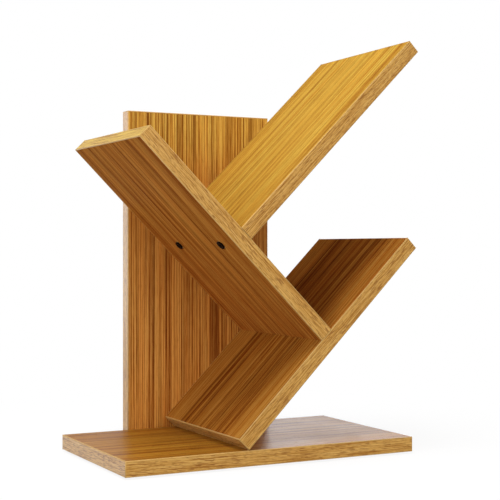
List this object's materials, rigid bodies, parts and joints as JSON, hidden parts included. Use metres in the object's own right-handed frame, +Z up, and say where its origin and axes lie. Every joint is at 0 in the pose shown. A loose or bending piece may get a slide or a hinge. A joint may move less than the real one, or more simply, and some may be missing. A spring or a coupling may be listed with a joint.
{
  "type": "tree shaped bookshelf",
  "caption": "Small desktop bookshelf shaped like a tree: an upright back panel on a flat base, with a leaning support board and slanted shelves that hold books in V-shaped trays.",
  "frame": {"origin": "middle of the footprint, on the surface that the pads stand on", "axes": "+X along the base towards the raised ends of the shelves, +Y from the open front to the back panel, +Z up"},
  "size_m": [0.3184, 0.191, 0.4182],
  "materials": {
    "laminate": "satin wood-grain laminate in warm orange brown, with straight stripes along each board",
    "edge_band": "satin oak-coloured edge band with short dark flecks and a rounded pale corner",
    "screw": "black coated steel, slightly glossy",
    "pad": "matt dark rubber"
  },
  "bodies": {
    "root": {"back_panel": "laminate", "base_band_back": "edge_band", "base_band_front": "edge_band", "base_band_left": "edge_band", "base_band_right": "edge_band", "base_board": "laminate", "lower_shelf": "laminate", "lower_shelf_band_back": "edge_band", "lower_shelf_band_end": "edge_band", "lower_shelf_band_foot": "edge_band", "lower_shelf_band_front": "edge_band", "lower_to_support_screw_1": "screw", "lower_to_support_screw_2": "screw", "pad_back_left": "pad", "pad_back_right": "pad", "pad_front_left": "pad", "pad_front_right": "pad", "panel_band_bottom": "edge_band", "panel_band_left": "edge_band", "panel_band_right": "edge_band", "panel_band_top": "edge_band", "panel_to_base_screw_1": "screw", "panel_to_base_screw_2": "screw", "panel_to_base_screw_3": "screw", "panel_to_lower_screw_1": "screw", "panel_to_lower_screw_2": "screw", "panel_to_support_screw_1": "screw", "panel_to_support_screw_2": "screw", "panel_to_upper_screw_1": "screw", "panel_to_upper_screw_2": "screw", "support_band_back": "edge_band", "support_band_end": "edge_band", "support_band_front": "edge_band", "support_board": "laminate", "support_to_upper_screw_1": "screw", "support_to_upper_screw_2": "screw", "upper_shelf": "laminate", "upper_shelf_band_back": "edge_band", "upper_shelf_band_end": "edge_band", "upper_shelf_band_front": "edge_band"}
  },
  "joints": []
}
